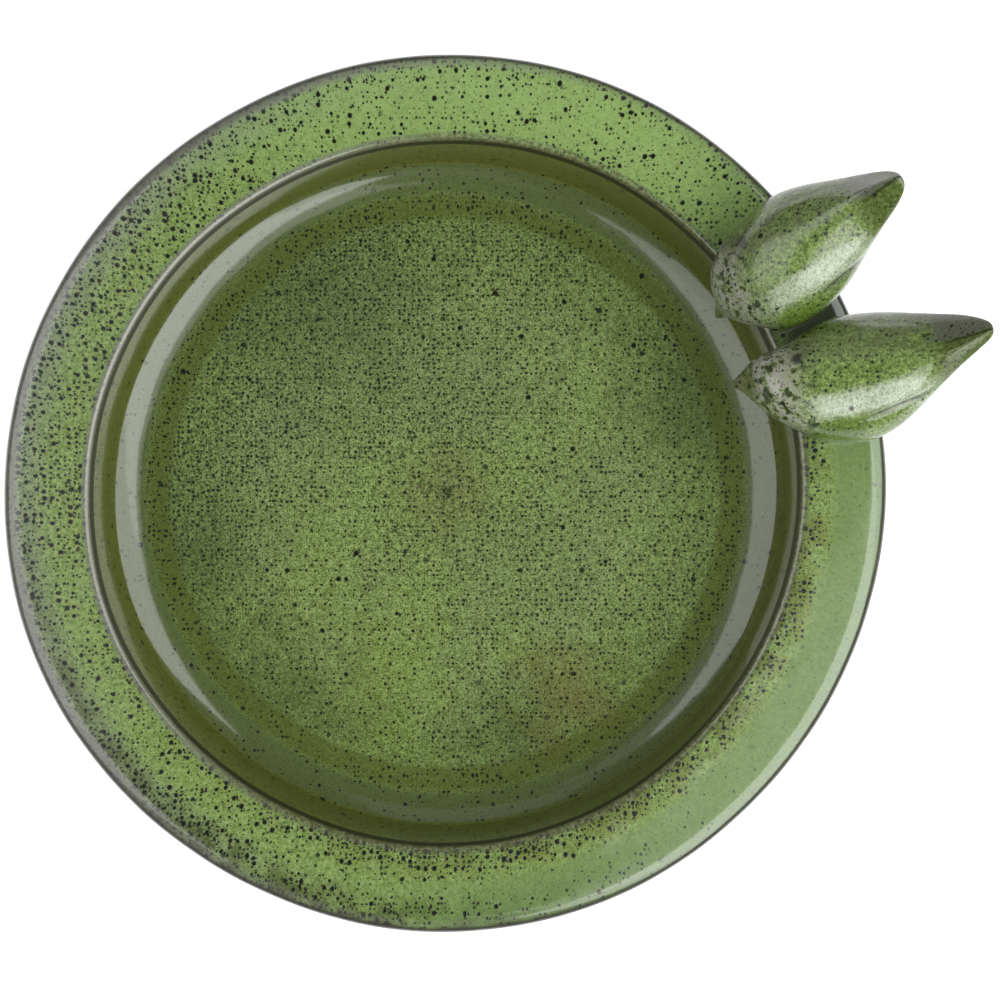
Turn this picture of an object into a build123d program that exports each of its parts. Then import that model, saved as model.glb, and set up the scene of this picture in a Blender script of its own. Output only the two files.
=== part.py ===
from build123d import *
import os

# A glazed stoneware bird bath: a shallow round dish on a foot ring, with a broad flat rim on which two
# hollow birds sit side by side, tails outward. One bird looks over the water, the other bows to drink.
# Nothing moves: the five pieces are made apart, joined wet with slip and fired as one.
#
# Millimetres, +Z up. The origin is on the dish's own axis, in the plane of the foot ring it stands on.

# Driving dimensions of the dish.
DISH_RADIUS = 150.0  # to the outside of the rim
LIP_RADIUS = 121.2  # where the flat rim breaks down into the well
RIM_TOP = 42.5  # height of the rim's flat top
RIM_THICKNESS = 11.0
RIM_FALL = 0.6  # the rim drops this much from its lip to where it rolls over
EDGE_ROLL = 6.0  # the rim's top rolls over towards its outer side across this breadth
EDGE_DROP = 3.0  # and drops this much on the way
EDGE_ROUNDING = 5.5  # below the side
LIP_ROUNDING = 2.8
WELL_DEPTH = 28.0  # from the rim's top to the floor at the foot of the cove
FLOOR_RADIUS = 98.5  # where the floor starts to curve up
FLOOR_HOLLOW = 0.8  # the floor's centre lies this much lower than its edge
COVE_RADIUS = 30.0
COVE_TURN = 32.0  # degrees through which the cove turns up, before the steep wall
FOOT_OUTER = 77.5
FOOT_INNER = 67.0
FOOT_HEIGHT = 3.5
FOOT_TAPER = 1.0  # each side of the foot ring leans in by this much
FOOT_ROUNDING = 0.8
BELLY_START = 88.0  # where the underside starts to curve up towards the rim
BELLY_END = 134.0  # where it meets the underside of the rim
RIM_ROOT_ROUNDING = 4.0

# Driving dimensions of the birds, each pinched hollow and shaped by hand while soft.
BIRD_WALL = 5.5  # the clay is pinched out to this thickness
SOLID_BELOW = 10.4  # the head and tail are left solid where they are less than this in half height
BIRD_MIDDLE = 42.0  # distance from the front of the head to the fullest part of the body
PIVOT_HEIGHT = 10.0  # the point above the rim about which a bird is turned and pitched
SEAT_HEIGHT = 1.0  # the flattened belly stands this far above the rim, on its slip
SEAT_INWARD = 5.0  # the middle of the seat lies this far from the pivot, towards the well
BELLY_HOLE_RADIUS = 4.5  # where the belly was opened to hollow it
VENT_RADIUS = 2.0  # pierced up through the rim, so that kiln gases leave the hollow bird

# A bird is where it sits on the rim, how far it is turned, leaned and pitched tail-up in degrees, and
# its stations: distance from the front, sway to its right, height, half width and half height.
WATCHING = dict(
    x=137.0,
    y=36.6,
    turn=10.5,
    lean=-10.0,
    pitch=-2.0,
    lift=0.0,
    stations=[
        (0.5, 4.8, 20.0, 0.8, 0.8),
        (4.0, 4.6, 20.4, 3.1, 2.6),
        (7.5, 3.6, 21.6, 7.0, 6.8),
        (12.0, 1.5, 22.8, 10.5, 10.0),
        (18.0, -0.6, 22.6, 13.4, 11.6),
        (25.0, -1.8, 20.2, 17.2, 14.2),
        (33.0, -0.6, 18.0, 20.4, 17.2),
        (42.0, -0.3, 17.8, 21.8, 18.6),
        (52.0, 0.2, 20.0, 20.2, 17.4),
        (62.0, 1.8, 25.0, 15.3, 14.2),
        (71.0, 3.2, 31.6, 10.2, 10.0),
        (79.0, 3.6, 39.0, 6.3, 6.0),
        (84.0, 2.8, 44.4, 2.8, 2.6),
    ],
)
DRINKING = dict(
    x=121.5,
    y=79.0,
    turn=28.5,
    lean=-8.0,
    pitch=11.0,
    lift=1.5,
    stations=[
        (8.6, 2.5, 9.0, 3.2, 3.0),
        (10.5, 2.6, 10.4, 7.8, 6.6),
        (13.5, 2.5, 12.6, 11.5, 9.6),
        (17.0, 1.8, 14.8, 14.6, 12.0),
        (21.5, 0.2, 16.2, 17.4, 13.8),
        (27.0, -0.3, 17.2, 19.2, 15.6),
        (33.0, 0.3, 17.8, 20.2, 17.2),
        (42.0, 1.6, 18.2, 20.6, 18.4),
        (52.0, 2.0, 20.6, 17.8, 16.8),
        (62.0, 2.4, 25.4, 12.7, 13.2),
        (71.0, 2.0, 31.6, 8.8, 9.4),
        (79.0, 1.2, 38.6, 5.4, 5.6),
        (83.5, 0.8, 43.2, 2.2, 2.4),
    ],
)

# The bowed bird's beak points down into the well: a cone from inside the head.
BEAK_ROOT = (12.5, 0.0, 8.0)
BEAK_SLOPE = 133.0  # degrees from straight up, towards the front
BEAK_LENGTH = 11.5
BEAK_RADII = (4.2, 0.9)

# The collar of slip under a bird is a mound that flares onto the rim: height, half length, half width.
LUTE = [(-3.0, 15.5, 20.5), (0.2, 13.5, 18.5), (2.0, 11.0, 15.5), (4.5, 9.5, 14.0)]
LUTE_MARGIN = 1.5  # it stops this far inside the outside of the rim
LUTE_LEVEL = 30.0  # tall enough to trim the whole mound


def bird_frame(bird):
    """The frame a bird is drawn in, at its pivot: X from head to tail and Z up its back."""
    pivot = Location((bird["x"], bird["y"], RIM_TOP + PIVOT_HEIGHT + bird["lift"]))
    turned = Location((0, 0, 0), (0, 0, bird["turn"]))
    leaned = Location((0, 0, 0), (bird["lean"], 0, 0))
    pitched = Location((0, 0, 0), (0, -bird["pitch"], 0))
    return Plane(pivot * turned * leaned * pitched)


def in_frame(bird, point):
    """A point given as distance from the front, sway and height, in the object's own axes."""
    along, sway, height = point
    return bird_frame(bird).from_local_coords((along - BIRD_MIDDLE, sway, height - PIVOT_HEIGHT))


def seat_plane(bird):
    """The level plane at the middle of a bird's seat on the rim, X along the bird."""
    inward = Vector(-SEAT_INWARD, 0).rotate(Axis.Z, bird["turn"])
    origin = Vector(bird["x"], bird["y"], RIM_TOP) + inward
    return Plane(origin=origin, x_dir=inward * -1, z_dir=(0, 0, 1))


def bird_outline(bird, inset=0.0):
    """A bird's outline lofted through its stations and pressed flat below, or the hollow inside it."""
    frame = bird_frame(bird)
    with BuildPart() as form:
        for *centre, half_width, half_height in bird["stations"]:
            if inset and half_height < SOLID_BELOW:
                continue
            station = Plane(origin=in_frame(bird, centre), x_dir=frame.y_dir, z_dir=frame.x_dir)
            with BuildSketch(station):
                Ellipse(half_width - inset, half_height - inset)
        loft()
        split(bisect_by=Plane.XY.offset(RIM_TOP + SEAT_HEIGHT + inset), keep=Keep.TOP)
    return form.part


def hollow_bird(bird, outside):
    """One bird: its outline, less the hollow and the hole through the belly."""
    hollow = bird_outline(bird, BIRD_WALL)
    with BuildPart() as shell:
        add(outside)
        add(hollow, mode=Mode.SUBTRACT)
        with BuildSketch(seat_plane(bird)):
            Circle(BELLY_HOLE_RADIUS)
        extrude(amount=PIVOT_HEIGHT, mode=Mode.SUBTRACT)
    return shell


def lute_under(bird, outside):
    """The collar of slip between a bird and the rim, open in the middle for the vent."""
    seat = seat_plane(bird)
    with BuildPart() as collar:
        for height, half_length, half_width in LUTE:
            with BuildSketch(seat.offset(height)):
                Ellipse(half_length, half_width)
        loft()
        with BuildSketch(Plane.XY.offset(RIM_TOP - LUTE_LEVEL / 2)):
            Circle(DISH_RADIUS - LUTE_MARGIN)
        extrude(amount=LUTE_LEVEL, mode=Mode.INTERSECT)
        with BuildSketch(seat):
            Circle(BELLY_HOLE_RADIUS)
        extrude(amount=PIVOT_HEIGHT, mode=Mode.SUBTRACT)
        add(outside, mode=Mode.SUBTRACT)
        add(dish.part, mode=Mode.SUBTRACT)
    return collar


# The dish, turned in one piece from its half profile.
floor_edge = (FLOOR_RADIUS, RIM_TOP - WELL_DEPTH)
edge_top = RIM_TOP - RIM_FALL
edge_bottom = edge_top - RIM_THICKNESS
roll_centre = (DISH_RADIUS - EDGE_ROLL, edge_top - EDGE_DROP)
rounding_centre = (DISH_RADIUS - EDGE_ROUNDING, edge_bottom + EDGE_ROUNDING)
with BuildPart() as dish:
    with BuildSketch(Plane.XZ) as profile:
        with BuildLine():
            floor = TangentArc((0, floor_edge[1] - FLOOR_HOLLOW), floor_edge, tangent=(1, 0))
            cove = JernArc(floor @ 1, floor % 1, COVE_RADIUS, COVE_TURN)
            wall = Line(cove @ 1, (LIP_RADIUS, RIM_TOP))
            roll = EllipticalCenterArc(roll_centre, EDGE_ROLL, EDGE_DROP, 0, arc_size=90)
            Line(wall @ 1, roll @ 1)
            rounding = CenterArc(rounding_centre, EDGE_ROUNDING, 0, -90)
            Line(roll @ 0, rounding @ 0)
            under_rim = Line(rounding @ 1, (BELLY_END, edge_bottom))
            belly = TangentArc((BELLY_START, FOOT_HEIGHT), under_rim @ 1, tangent=(1, 0))
            Polyline(
                belly @ 0,
                (FOOT_OUTER, FOOT_HEIGHT),
                (FOOT_OUTER - FOOT_TAPER, 0),
                (FOOT_INNER + FOOT_TAPER, 0),
                (FOOT_INNER, FOOT_HEIGHT),
                (0, FOOT_HEIGHT),
                floor @ 0,
            )
        make_face()
        fillet(profile.vertices().sort_by_distance(wall @ 1)[0], LIP_ROUNDING)
        fillet(profile.vertices().sort_by_distance(under_rim @ 1)[0], RIM_ROOT_ROUNDING)
        fillet(profile.vertices().group_by(Axis.Y)[0], FOOT_ROUNDING)
    revolve(axis=Axis.Z)
    with Locations(*[seat_plane(bird).origin for bird in (WATCHING, DRINKING)]):
        Hole(VENT_RADIUS, depth=2 * RIM_THICKNESS)

# The two birds, and the slip that holds each of them to the rim.
watching_outside = bird_outline(WATCHING)
drinking_body = bird_outline(DRINKING)
beak_plane = Plane(
    origin=in_frame(DRINKING, BEAK_ROOT),
    x_dir=bird_frame(DRINKING).y_dir,
    z_dir=bird_frame(DRINKING).z_dir.rotate(Axis((0, 0, 0), bird_frame(DRINKING).y_dir), -BEAK_SLOPE),
)
with BuildPart() as drinking_outside:
    add(drinking_body)
    for step, radius in zip((0, BEAK_LENGTH), BEAK_RADII):
        with BuildSketch(beak_plane.offset(step)):
            Circle(radius)
    loft()

watching_bird = hollow_bird(WATCHING, watching_outside)
drinking_bird = hollow_bird(DRINKING, drinking_outside.part)
watching_bird_lute = lute_under(WATCHING, watching_outside)
drinking_bird_lute = lute_under(DRINKING, drinking_outside.part)

pieces = {
    "dish": dish,
    "watching_bird": watching_bird,
    "drinking_bird": drinking_bird,
    "watching_bird_lute": watching_bird_lute,
    "drinking_bird_lute": drinking_bird_lute,
}
os.makedirs("parts", exist_ok=True)
for name, piece in pieces.items():
    piece.part.label = name
    export_step(piece.part, f"parts/{name}.step")
    size = piece.part.bounding_box().size
    volume = piece.part.volume / 1000
    print(f"{name}: {volume:.1f} cm3, {size.X:.1f} x {size.Y:.1f} x {size.Z:.1f} mm")
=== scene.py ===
# %% [markdown]
# # A glazed bird bath, finished in Blender
#
# The object is a stoneware dish about 30 cm across, with two hollow birds joined to its rim before it
# was fired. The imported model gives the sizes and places. This lesson builds the surfaces that a visitor
# sees around it: the turned dish with its hand-made waver, the two modelled birds, the slip that holds
# them, and a speckled green glaze.

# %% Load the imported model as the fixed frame
import math
import bmesh
import bpy
import numpy as np
from mathutils import Matrix, Vector
from mathutils.bvhtree import BVHTree


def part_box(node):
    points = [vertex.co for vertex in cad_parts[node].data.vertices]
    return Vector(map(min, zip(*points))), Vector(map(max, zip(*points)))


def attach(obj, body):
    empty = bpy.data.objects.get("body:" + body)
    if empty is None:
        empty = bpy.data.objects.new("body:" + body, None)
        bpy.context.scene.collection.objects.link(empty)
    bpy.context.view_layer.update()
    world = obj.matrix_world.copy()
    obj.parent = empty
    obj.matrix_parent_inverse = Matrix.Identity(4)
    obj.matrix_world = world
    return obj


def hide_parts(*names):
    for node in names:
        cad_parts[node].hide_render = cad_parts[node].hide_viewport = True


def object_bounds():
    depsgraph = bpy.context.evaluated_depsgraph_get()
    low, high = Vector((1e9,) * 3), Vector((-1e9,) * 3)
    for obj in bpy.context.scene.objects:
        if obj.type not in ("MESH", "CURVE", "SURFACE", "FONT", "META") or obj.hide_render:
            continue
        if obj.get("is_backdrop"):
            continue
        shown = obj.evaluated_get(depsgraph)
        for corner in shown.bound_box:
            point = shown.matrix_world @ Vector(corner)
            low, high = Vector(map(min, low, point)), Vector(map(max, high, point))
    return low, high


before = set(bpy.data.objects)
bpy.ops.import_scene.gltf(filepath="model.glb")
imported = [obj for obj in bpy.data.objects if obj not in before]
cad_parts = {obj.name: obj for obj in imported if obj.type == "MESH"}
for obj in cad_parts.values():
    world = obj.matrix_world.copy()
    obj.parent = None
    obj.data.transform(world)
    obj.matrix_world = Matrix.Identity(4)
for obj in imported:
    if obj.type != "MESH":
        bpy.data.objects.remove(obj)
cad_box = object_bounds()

MM = 0.001  # sizes below are in millimetres and turned into metres with this
MERGE_DISTANCE = 0.002 * MM  # points closer than this are one point
print("nodes:", ", ".join(sorted(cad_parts)))

# %% [markdown]
# The driving sizes come from the frame: the dish's box gives its radius and the height of its rim. The
# thickness of the clay and the depth of the well can't be read from a box, so they are named here, in
# millimetres.

# %% Sizes of the dish
dish_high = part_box("dish")[1]
RIM_RADIUS = dish_high.x / MM
RIM_TOP = dish_high.z / MM
LIP_RADIUS = RIM_RADIUS - 28.8  # where the flat rim breaks down into the well
RIM_THICKNESS = 11.0
RIM_FALL = 0.6  # from the lip to where the rim rolls over
LIP_ROUNDING = 2.8
EDGE_ROLL = 6.0  # the rim rolls over towards its outer side across this breadth
EDGE_DROP = 3.0  # and drops this much on the way
EDGE_ROUNDING = 5.5  # below the side
WELL_FLOOR = RIM_TOP - 28.0  # the floor's height at the foot of the cove
FLOOR_HOLLOW = 0.8
COVE_START = RIM_RADIUS - 51.5
COVE_RADIUS = 30.0
COVE_TURN = 33.0  # degrees through which the cove has turned where the steep wall starts
FOOT_HEIGHT = 3.5
FOOT_OUTER = 77.5
FOOT_INNER = 67.0
BELLY_START = 88.0
BELLY_END = 134.0
print(f"dish radius {RIM_RADIUS:.1f} mm, rim at {RIM_TOP:.1f} mm")


# %% [markdown]
# ## The dish
#
# A potter turns or presses such a dish, so it is a turned shape. In Blender the natural tool is a half
# profile and the Screw modifier. The profile below is drawn from the middle of the floor outwards, over
# the rim and back underneath to the middle of the foot. Round stretches are arcs; straight ones only
# have the points at their ends and a few between, to keep the quads even.

# %% Helpers for a profile
def arc(centre, radius, start, end, count, flat=1.0):
    """Points on an arc between two angles in degrees, both ends included; flat squashes its height."""
    x, z = centre
    angles = [math.radians(start + (end - start) * i / (count - 1)) for i in range(count)]
    return [(x + radius * math.cos(a), z + radius * flat * math.sin(a)) for a in angles]


def run(start, end, count):
    """Evenly spaced points from start up to, but not including, end."""
    return [tuple(s + (e - s) * i / count for s, e in zip(start, end)) for i in range(count)]


def rounded(before, corner, after, radius, count):
    """A corner rounded to a radius: the arc's points."""
    corner = Vector(corner)
    back = (Vector(before) - corner).normalized()
    ahead = (Vector(after) - corner).normalized()
    half = back.angle(ahead) / 2
    centre = corner + (back + ahead).normalized() * radius / math.sin(half)
    start = corner + back * radius / math.tan(half) - centre
    end = corner + ahead * radius / math.tan(half) - centre
    sweep = start.angle_signed(end)
    points = []
    for i in range(count):
        turn = -sweep * i / (count - 1)
        x = start.x * math.cos(turn) - start.y * math.sin(turn)
        y = start.x * math.sin(turn) + start.y * math.cos(turn)
        points.append((centre.x + x, centre.y + y))
    return points


# %% The dish's half profile
cove_centre = (COVE_START, WELL_FLOOR + COVE_RADIUS)
crease = arc(cove_centre, COVE_RADIUS, -90, -90 + COVE_TURN, 2)[1]
before_crease = arc(cove_centre, COVE_RADIUS, -90, -93 + COVE_TURN, 2)[1]
lip = (LIP_RADIUS, RIM_TOP)
edge_top = (RIM_RADIUS - EDGE_ROLL, RIM_TOP - RIM_FALL)
edge_bottom = edge_top[1] - RIM_THICKNESS
roll_centre = (edge_top[0], edge_top[1] - EDGE_DROP)
rounding_centre = (RIM_RADIUS - EDGE_ROUNDING, edge_bottom + EDGE_ROUNDING)
rim_root = (BELLY_END, edge_bottom)
rise = rim_root[1] - FOOT_HEIGHT
belly_radius = ((BELLY_END - BELLY_START) ** 2 + rise ** 2) / (2 * rise)
belly_turn = math.degrees(math.asin((BELLY_END - BELLY_START) / belly_radius))
belly = arc((BELLY_START, FOOT_HEIGHT + belly_radius), belly_radius, -90 + belly_turn, -90, 12)
foot_corners = [
    (FOOT_OUTER + 4, FOOT_HEIGHT),
    (FOOT_OUTER, FOOT_HEIGHT),
    (FOOT_OUTER - 1, 0),
    (FOOT_INNER + 1, 0),
    (FOOT_INNER, FOOT_HEIGHT),
    (FOOT_INNER - 4, FOOT_HEIGHT),
]

profile = [(0.0, WELL_FLOOR - FLOOR_HOLLOW)]
profile += run((8.0, WELL_FLOOR - FLOOR_HOLLOW), (COVE_START, WELL_FLOOR), 11)
profile += arc(cove_centre, COVE_RADIUS, -90, -93 + COVE_TURN, 8)
profile += rounded(before_crease, crease, lip, 1.2, 4)[1:]
lip_arc = rounded(crease, lip, edge_top, LIP_ROUNDING, 6)
profile += run(profile[-1], lip_arc[0], 8)[1:]
profile += lip_arc
profile += run(lip_arc[-1], edge_top, 8)[1:]
profile += arc(roll_centre, EDGE_ROLL, 90, 0, 12, flat=EDGE_DROP / EDGE_ROLL)
profile += arc(rounding_centre, EDGE_ROUNDING, 0, -90, 8)
root_arc = rounded(profile[-1], rim_root, belly[1], 4.0, 5)
profile += run(profile[-1], root_arc[0], 3)[1:]
profile += root_arc
profile += belly[2:]
for before, corner, after in zip(foot_corners, foot_corners[1:], foot_corners[2:]):
    profile += rounded(before, corner, after, 0.9, 4)
profile += run((FOOT_INNER - 5, FOOT_HEIGHT), (0.0, FOOT_HEIGHT), 7)
profile += [(0.0, FOOT_HEIGHT)]
print(len(profile), "points in the profile")

# %% [markdown]
# The finish changes along this profile: it pools in the cove, breaks on the lip and stops at the foot.
# So every point keeps its span, the distance walked along the profile from the middle of the floor.
# Being measured on the true shape, it stays with the surface when the hand-made waver is added.

# %% The span along the profile
steps = [math.dist(a, b) for a, b in zip(profile, profile[1:])]
spans = np.concatenate([[0.0], np.cumsum(steps)])
outline = np.array(profile)


def span_of(point):
    """The span at the profile's nearest point, in millimetres."""
    return float(spans[np.linalg.norm(outline - np.array(point), axis=1).argmin()])


SPAN = {
    "cove": span_of((COVE_START, WELL_FLOOR)),
    "crease": span_of(crease),
    "lip": span_of(lip),
    "edge": span_of(edge_top),
    "rim_side": span_of((RIM_RADIUS, roll_centre[1])),
    "root": span_of(rim_root),
    "foot": span_of((FOOT_OUTER - 1, 0)),
    "foot_inside": span_of((FOOT_INNER + 1, 0)),
}
print({key: round(value, 1) for key, value in SPAN.items()})


# %% [markdown]
# Most pieces need the same three small jobs: a mesh object from points, a modifier stack turned into
# the mesh itself, and a number stored on each point for the material to read.

# %% Helpers for pieces
def new_piece(name, points, edges=(), faces=()):
    """A mesh object in the scene, from points in metres."""
    mesh = bpy.data.meshes.new(name)
    mesh.from_pydata([tuple(p) for p in points], list(edges), list(faces))
    piece = bpy.data.objects.new(name, mesh)
    bpy.context.scene.collection.objects.link(piece)
    return piece


def add_modifier(piece, kind, **settings):
    """One modifier with its settings."""
    modifier = piece.modifiers.new(kind.title(), kind)
    for key, value in settings.items():
        setattr(modifier, key, value)
    return modifier


def settle(piece):
    """Turn a piece's modifier stack into its own mesh, merge doubled points and turn faces outwards."""
    bpy.context.view_layer.update()
    graph = bpy.context.evaluated_depsgraph_get()
    mesh = bpy.data.meshes.new_from_object(piece.evaluated_get(graph))
    piece.modifiers.clear()
    piece.data = mesh
    work = bmesh.new()
    work.from_mesh(mesh)
    bmesh.ops.remove_doubles(work, verts=work.verts, dist=MERGE_DISTANCE)
    bmesh.ops.recalc_face_normals(work, faces=work.faces)
    work.to_mesh(mesh)
    work.free()


def points_of(piece):
    """All points of a piece, one row each, in metres."""
    flat = np.empty(3 * len(piece.data.vertices), np.float32)
    piece.data.vertices.foreach_get("co", flat)
    return flat.reshape(-1, 3).astype(float)


def move_points(piece, points):
    """Put a piece's points somewhere else."""
    piece.data.vertices.foreach_set("co", points.astype(np.float32).ravel())
    piece.data.update()


def store(piece, name, values):
    """A number on each point, for a material to read."""
    layer = piece.data.attributes.new(name, "FLOAT", "POINT")
    layer.data.foreach_set("value", np.asarray(values, np.float32))


def smooth(piece):
    """Shade a piece smooth."""
    piece.data.polygons.foreach_set("use_smooth", [True] * len(piece.data.polygons))


def ease(value, low, high):
    """From 0 at low to 1 at high, gently at both ends."""
    t = np.clip((np.asarray(value, float) - low) / (high - low), 0, 1)
    return t * t * (3 - 2 * t)


# %% Turn the dish
TURN_STEPS = 144
dish = new_piece(
    "glazed_dish",
    [(r * MM, 0, z * MM) for r, z in profile],
    edges=[(i, i + 1) for i in range(len(profile) - 1)],
)
add_modifier(
    dish,
    "SCREW",
    steps=TURN_STEPS,
    render_steps=TURN_STEPS,
    use_merge_vertices=True,
    merge_threshold=MERGE_DISTANCE,
)
settle(dish)
true_shape = points_of(dish) / MM
radius = np.hypot(true_shape[:, 0], true_shape[:, 1])
height = true_shape[:, 2]
nearest = [np.argmin((outline[:, 0] - r) ** 2 + (outline[:, 1] - z) ** 2) for r, z in zip(radius, height)]
store(dish, "span", spans[nearest])
print(len(dish.data.vertices), "points turned")

# %% [markdown]
# No hand-made dish is truly round. This one is a little narrower across one diagonal, most of all at
# the lip, and its rim wavers by a few tenths of a millimetre. The floor and the foot stay true, so that
# it stands flat.

# %% The hand-made waver
NARROW_WAY = math.radians(-56.0)  # the diagonal across which it is narrower
WAVES_OUT = [(3, 0.22, 0.8), (5, 0.15, 2.3), (11, 0.08, 1.1)]  # waves in one turn, push in mm, phase
WAVES_UP = [(2, 0.30, 0.5), (5, 0.18, 1.9)]
RIM_SETTLED = 0.45  # how far the whole rim sinks while it is fired
THUMBS = [(232.0, -1.2), (127.0, -0.8), (297.0, 0.7)]  # where the rim was pushed in or out, and by how much
THUMB_BREADTH = 0.09
angle = np.arctan2(true_shape[:, 1], true_shape[:, 0])
loose = ease(radius, 95.0, LIP_RADIUS)
narrowing = np.interp(radius, [112.0, LIP_RADIUS, RIM_RADIUS], [0.0, 0.0205, 0.012])
factor = 1 - narrowing * np.cos(angle - NARROW_WAY) ** 2
sideways = sum(push * np.sin(waves * angle + phase) for waves, push, phase in WAVES_OUT)
upwards = sum(push * np.sin(waves * angle + phase) for waves, push, phase in WAVES_UP) - RIM_SETTLED
for towards, push in THUMBS:
    sideways += push * np.exp((np.cos(angle - math.radians(towards)) - 1) / THUMB_BREADTH)
factor += loose * sideways / np.maximum(radius, 1.0)
warped = true_shape * np.stack([factor, factor, np.ones_like(factor)], axis=1)
warped[:, 2] += loose * upwards
move_points(dish, warped * MM)
smooth(dish)
print(f"rim now {np.ptp(warped[:, 0]):.1f} x {np.ptp(warped[:, 1]):.1f} mm")

# %% [markdown]
# A Displace modifier with a soft cloud texture gives the surface the slight unevenness of clay under a
# thick glaze, which is what makes its reflections look alive. Subdivision on top of it keeps the
# roundings smooth.

# %% The dish's live stack
UNEVEN_BY = 0.28 * MM
unevenness = bpy.data.textures.new("unevenness", "CLOUDS")
unevenness.noise_scale = 0.022
unevenness.noise_depth = 2
add_modifier(dish, "SUBSURF", levels=1, render_levels=1)
add_modifier(
    dish, "DISPLACE", texture=unevenness, texture_coords="LOCAL", strength=UNEVEN_BY, mid_level=0.5
)
print("live stack:", ", ".join(modifier.type for modifier in dish.modifiers))

# %% [markdown]
# ## The birds
#
# Each bird was modelled by hand, so it isn't a turned shape. A cage of a few rings, threaded on the
# bird from beak to tail, describes it well: a ring has a place, a half width and a half height, and it
# can tilt, lean its top to one side, or draw its upper half up into a roof with a sharp ridge, as at
# the pinched tail. Subdivision surfaces then round the cage. The bird is built level and facing -X, and
# put on its perch afterwards.

# %% Where the birds sit
PIVOT_HEIGHT = 10.0  # above the rim: the point about which a bird is turned and pitched
BIRD_MIDDLE = 42.0  # how far that point is from the front of the head
SEAT = 1.0  # the flattened belly stands this far above the rim
PERCHES = {
    "watching": dict(x=137.0, y=36.6, turn=10.5, lean=-10.0, pitch=-2.0, lift=0.0),
    "drinking": dict(x=121.5, y=79.0, turn=28.5, lean=-8.0, pitch=11.0, lift=1.5),
}


def perch_matrix(perch):
    """From a bird's own millimetres to its place on the rim, in metres."""
    level = Matrix.Translation((-BIRD_MIDDLE, 0, -PIVOT_HEIGHT))
    pitched = Matrix.Rotation(math.radians(-perch["pitch"]), 4, "Y")
    leaned = Matrix.Rotation(math.radians(perch["lean"]), 4, "X")
    turned = Matrix.Rotation(math.radians(perch["turn"]), 4, "Z")
    seat = Matrix.Translation((perch["x"], perch["y"], RIM_TOP + PIVOT_HEIGHT + perch["lift"]))
    return Matrix.Scale(MM, 4) @ seat @ turned @ leaned @ pitched @ level


# %% [markdown]
# A ring is written as: distance from the front, sway, height, half width, half height, tilt forward in
# degrees, how far the top leans to one side as a share of the half width, and how much of a roof the
# upper half is, from 0 to 1.

# %% The rings of each bird
WATCHING_RINGS = [
    (1.2, 4.8, 19.6, 0.9, 0.8, 0, 0, 0),
    (3.8, 4.6, 20.2, 2.9, 2.3, 0, 0, 0),
    (6.0, 4.0, 20.8, 5.2, 4.2, 0, 0, 0),
    (7.8, 3.4, 21.8, 7.6, 7.0, 0, 0, 0),
    (12.0, 1.5, 23.0, 10.9, 10.5, 0, 0, 0),
    (18.0, -0.2, 22.6, 14.1, 12.0, 0, 0, 0),
    (25.0, -1.1, 20.2, 18.1, 14.4, 0, 0, 0),
    (33.0, -0.1, 18.0, 21.3, 17.4, 0, 0, 0),
    (42.0, -0.3, 17.8, 22.4, 18.9, 0, 0, 0.1),
    (52.0, 0.2, 20.2, 20.8, 17.8, 0, -0.1, 0.25),
    (62.0, 1.8, 25.4, 15.8, 14.4, 0, -0.3, 0.5),
    (71.0, 3.2, 32.0, 10.6, 10.0, 0, -0.5, 0.8),
    (79.0, 3.6, 39.6, 6.6, 6.0, 0, -0.5, 0.9),
    (84.6, 2.8, 45.0, 2.8, 2.2, 0, -0.3, 0.6),
]
DRINKING_RINGS = [
    (4.6, -0.8, 0.4, 0.8, 0.7, 42, 0, 0),
    (7.0, -0.2, 2.8, 2.7, 2.3, 42, 0, 0),
    (9.4, 0.3, 4.8, 4.6, 4.0, 42, 0, 0),
    (11.6, 0.8, 7.0, 7.6, 5.8, 42, 0, 0),
    (13.8, 1.4, 9.4, 11.2, 8.8, 38, 0, 0),
    (17.2, 1.3, 12.4, 14.8, 11.4, 28, 0, 0),
    (22.0, 0.1, 15.4, 18.2, 13.9, 16, 0, 0),
    (28.0, -0.5, 17.2, 20.4, 16.0, 6, 0, 0),
    (35.0, 0.5, 17.9, 20.9, 17.8, 0, 0, 0),
    (43.0, 1.6, 18.4, 21.1, 18.7, 0, 0, 0.1),
    (52.0, 2.0, 20.8, 18.4, 17.0, 0, 0.05, 0.25),
    (62.0, 2.4, 25.8, 13.2, 13.4, 0, 0.15, 0.5),
    (71.0, 2.0, 32.0, 9.3, 9.6, 0, 0.25, 0.8),
    (79.0, 1.2, 39.2, 5.9, 5.6, 0, 0.3, 0.9),
    (82.8, 0.9, 42.6, 2.8, 2.0, 0, 0.3, 0.7),
]
RING_POINTS = 16
print(len(WATCHING_RINGS), "and", len(DRINKING_RINGS), "rings of", RING_POINTS, "points")


def ring_points(ring):
    """The points of one ring, in the bird's own millimetres."""
    along, sway, height, half_width, half_height, tilt, top_lean, roof = ring
    tilt = math.radians(tilt)
    points = []
    for i in range(RING_POINTS):
        turn = 2 * math.pi * i / RING_POINTS
        across = math.cos(turn)
        up = math.sin(turn)
        if up > 0:
            up = up * (1 - roof) + (1 - abs(across)) * roof
            across += top_lean * up * up
        rise = up * half_height
        x = along - rise * math.sin(tilt)
        points.append((x, sway + across * half_width, height + rise * math.cos(tilt)))
    return points


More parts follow.
